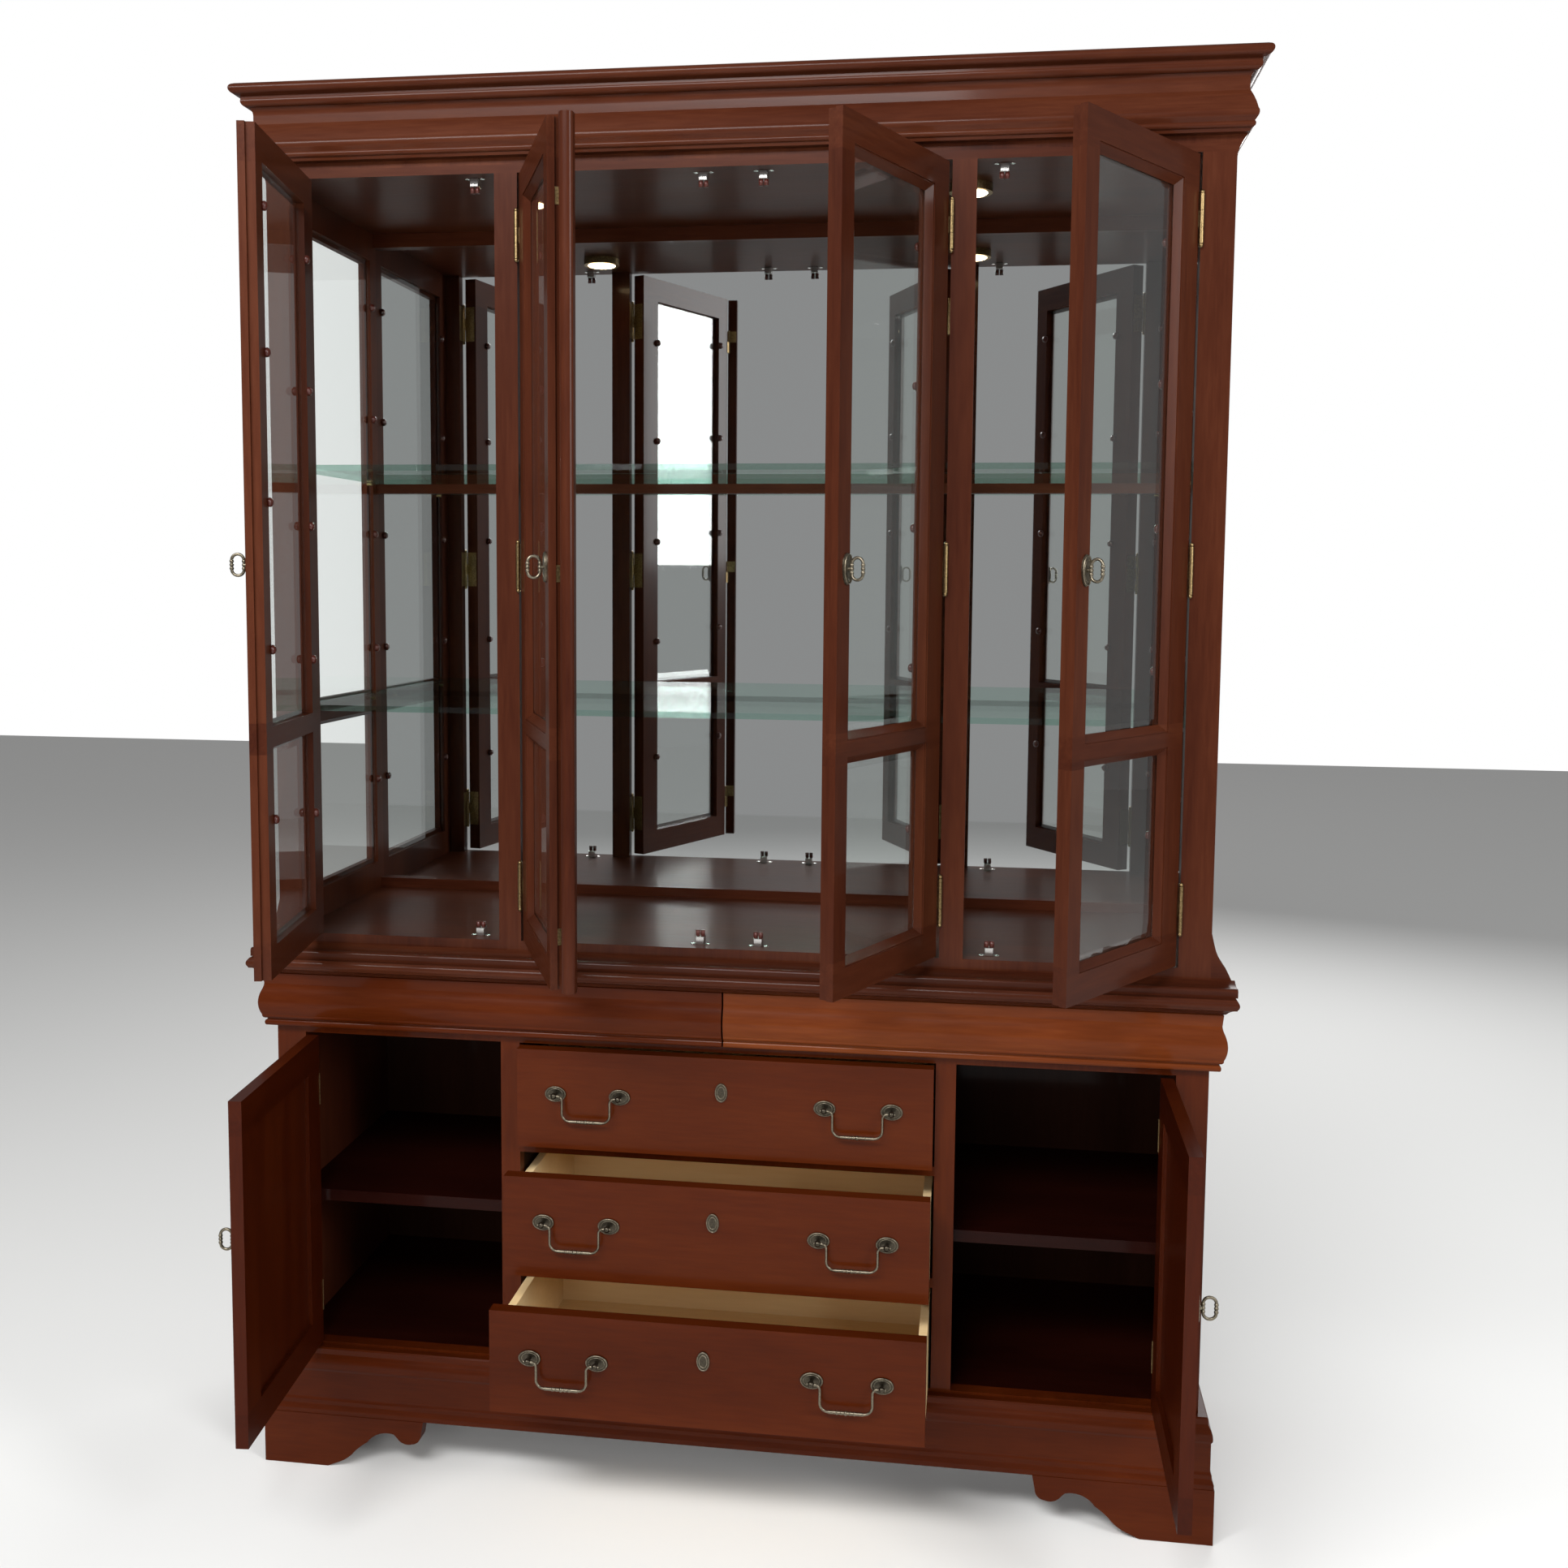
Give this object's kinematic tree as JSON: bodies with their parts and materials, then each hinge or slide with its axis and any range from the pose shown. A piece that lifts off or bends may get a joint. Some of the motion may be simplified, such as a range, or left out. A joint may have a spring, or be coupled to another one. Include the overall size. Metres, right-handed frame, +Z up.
{
  "type": "china cabinet",
  "caption": "Tall china cabinet: a mirror-backed hutch with glazed folding doors and glass shelves on a buffet of cupboards, drawers and hidden frieze drawers.",
  "frame": {"origin": "on the floor, at the middle of the overall width and of the overall depth with the doors standing open as stored", "axes": "+Z up, -Y towards the person in front of the doors, +X to that person's right"},
  "size_m": [1.46, 0.7074, 2.08],
  "materials": {
    "cherry_wood": "satin lacquer, red-brown cherry",
    "light_cherry_wood": "satin lacquer, lighter red-brown cherry",
    "inner_wood": "satin, dark red-brown inside",
    "back_wood": "matt board",
    "drawer_wood": "clear satin, pale maple",
    "aged_brass": "aged, satin",
    "lamp_metal": "satin",
    "bevelled_glass": "clear, ground bevels",
    "shelf_glass": "clear, polished green edge",
    "mirror_glass": "silvered"
  },
  "bodies": {
    "case": {"bracket_feet": "cherry_wood", "base_moulding": "cherry_wood", "buffet_sides": "cherry_wood", "buffet_inner_panels": "inner_wood", "buffet_face_frame": "cherry_wood", "back_panels": "back_wood", "buffet_top": "cherry_wood", "hutch_base_moulding": "cherry_wood", "hutch_boards": "cherry_wood", "hutch_face_frame": "cherry_wood", "hutch_side_frames": "cherry_wood", "hutch_side_panes": "bevelled_glass", "cornice": "cherry_wood", "mirror": "mirror_glass", "glass_shelves": "shelf_glass", "ceiling_lights": "lamp_metal", "case_hardware": "aged_brass"},
    "hutch_door_left": {"hutch_door_left_frame": "cherry_wood", "hutch_door_left_panes": "bevelled_glass", "hutch_door_left_fittings": "aged_brass", "hutch_door_left_pull": "aged_brass"},
    "hutch_door_centre_left": {"hutch_door_centre_left_frame": "cherry_wood", "hutch_door_centre_left_panes": "bevelled_glass", "hutch_door_centre_left_fittings": "aged_brass", "hutch_door_centre_left_pull": "aged_brass"},
    "hutch_door_centre_right": {"hutch_door_centre_right_frame": "cherry_wood", "hutch_door_centre_right_panes": "bevelled_glass", "hutch_door_centre_right_fittings": "aged_brass", "hutch_door_centre_right_pull": "aged_brass"},
    "hutch_door_right": {"hutch_door_right_frame": "cherry_wood", "hutch_door_right_panes": "bevelled_glass", "hutch_door_right_fittings": "aged_brass", "hutch_door_right_pull": "aged_brass"},
    "centre_stile": {"centre_stile": "cherry_wood", "centre_stile_leaves": "aged_brass"},
    "cupboard_door_left": {"cupboard_door_left_wood": "cherry_wood", "cupboard_door_left_fittings": "aged_brass", "cupboard_door_left_pull": "aged_brass"},
    "cupboard_door_right": {"cupboard_door_right_wood": "cherry_wood", "cupboard_door_right_fittings": "aged_brass", "cupboard_door_right_pull": "aged_brass"},
    "drawer_1": {"drawer_1_front": "cherry_wood", "drawer_1_box": "drawer_wood", "drawer_1_plates": "aged_brass"},
    "drawer_1_bail_left": {"drawer_1_bail_left": "aged_brass"},
    "drawer_1_bail_right": {"drawer_1_bail_right": "aged_brass"},
    "drawer_2": {"drawer_2_front": "cherry_wood", "drawer_2_box": "drawer_wood", "drawer_2_plates": "aged_brass"},
    "drawer_2_bail_left": {"drawer_2_bail_left": "aged_brass"},
    "drawer_2_bail_right": {"drawer_2_bail_right": "aged_brass"},
    "drawer_3": {"drawer_3_front": "cherry_wood", "drawer_3_box": "drawer_wood", "drawer_3_plates": "aged_brass"},
    "drawer_3_bail_left": {"drawer_3_bail_left": "aged_brass"},
    "drawer_3_bail_right": {"drawer_3_bail_right": "aged_brass"},
    "frieze_drawer_left": {"frieze_drawer_left_front": "cherry_wood", "frieze_drawer_left_box": "drawer_wood"},
    "frieze_drawer_right": {"frieze_drawer_right_front": "light_cherry_wood", "frieze_drawer_right_box": "drawer_wood"}
  },
  "joints": [
    {"name": "hutch_door_left_hinge", "type": "hinge", "parent": "case", "child": "hutch_door_left", "pos_m": [-0.647, -0.0322, 1.389], "axis": [0, 0, -1], "range_deg": [-79.5, 30.5]},
    {"name": "hutch_door_centre_left_hinge", "type": "hinge", "parent": "case", "child": "hutch_door_centre_left", "pos_m": [-0.311, -0.0322, 1.389], "axis": [0, 0, -1], "range_deg": [-66.5, 43.5]},
    {"name": "hutch_door_centre_right_hinge", "type": "hinge", "parent": "case", "child": "hutch_door_centre_right", "pos_m": [0.311, -0.0322, 1.389], "axis": [0, 0, 1], "range_deg": [-65.5, 44.5]},
    {"name": "hutch_door_right_hinge", "type": "hinge", "parent": "case", "child": "hutch_door_right", "pos_m": [0.647, -0.0322, 1.389], "axis": [0, 0, 1], "range_deg": [-56.5, 53.5]},
    {"name": "centre_stile_hinge", "type": "hinge", "parent": "hutch_door_centre_left", "child": "centre_stile", "pos_m": [-0.16806, -0.301, 1.389], "axis": [0, 0, 1], "range_deg": [-66.5, 23.5]},
    {"name": "cupboard_door_left_hinge", "type": "hinge", "parent": "case", "child": "cupboard_door_left", "pos_m": [-0.647, -0.0472, 0.4325], "axis": [0, 0, -1], "range_deg": [-85, 25]},
    {"name": "cupboard_door_right_hinge", "type": "hinge", "parent": "case", "child": "cupboard_door_right", "pos_m": [0.647, -0.0472, 0.4325], "axis": [0, 0, 1], "range_deg": [-90, 20]},
    {"name": "drawer_1_slide", "type": "slide", "parent": "case", "child": "drawer_1", "axis": [0, -1, 0], "range_m": [-0.022, 0.258]},
    {"name": "drawer_1_bail_left_swing", "type": "hinge", "parent": "drawer_1", "child": "drawer_1_bail_left", "pos_m": [-0.2, -0.0773, 0.60917], "axis": [-1, 0, 0], "range_deg": [0, 80]},
    {"name": "drawer_1_bail_right_swing", "type": "hinge", "parent": "drawer_1", "child": "drawer_1_bail_right", "pos_m": [0.2, -0.0773, 0.60917], "axis": [-1, 0, 0], "range_deg": [0, 80]},
    {"name": "drawer_2_slide", "type": "slide", "parent": "case", "child": "drawer_2", "axis": [0, -1, 0], "range_m": [-0.09, 0.19]},
    {"name": "drawer_2_bail_left_swing", "type": "hinge", "parent": "drawer_2", "child": "drawer_2_bail_left", "pos_m": [-0.2, -0.1453, 0.4415], "axis": [-1, 0, 0], "range_deg": [0, 80]},
    {"name": "drawer_2_bail_right_swing", "type": "hinge", "parent": "drawer_2", "child": "drawer_2_bail_right", "pos_m": [0.2, -0.1453, 0.4415], "axis": [-1, 0, 0], "range_deg": [0, 80]},
    {"name": "drawer_3_slide", "type": "slide", "parent": "case", "child": "drawer_3", "axis": [0, -1, 0], "range_m": [-0.162, 0.118]},
    {"name": "drawer_3_bail_left_swing", "type": "hinge", "parent": "drawer_3", "child": "drawer_3_bail_left", "pos_m": [-0.2, -0.2173, 0.27383], "axis": [-1, 0, 0], "range_deg": [0, 80]},
    {"name": "drawer_3_bail_right_swing", "type": "hinge", "parent": "drawer_3", "child": "drawer_3_bail_right", "pos_m": [0.2, -0.2173, 0.27383], "axis": [-1, 0, 0], "range_deg": [0, 80]},
    {"name": "frieze_drawer_left_slide", "type": "slide", "parent": "case", "child": "frieze_drawer_left", "axis": [0, -1, 0], "range_m": [0, 0.25]},
    {"name": "frieze_drawer_right_slide", "type": "slide", "parent": "case", "child": "frieze_drawer_right", "axis": [0, -1, 0], "range_m": [0, 0.25]}
  ]
}
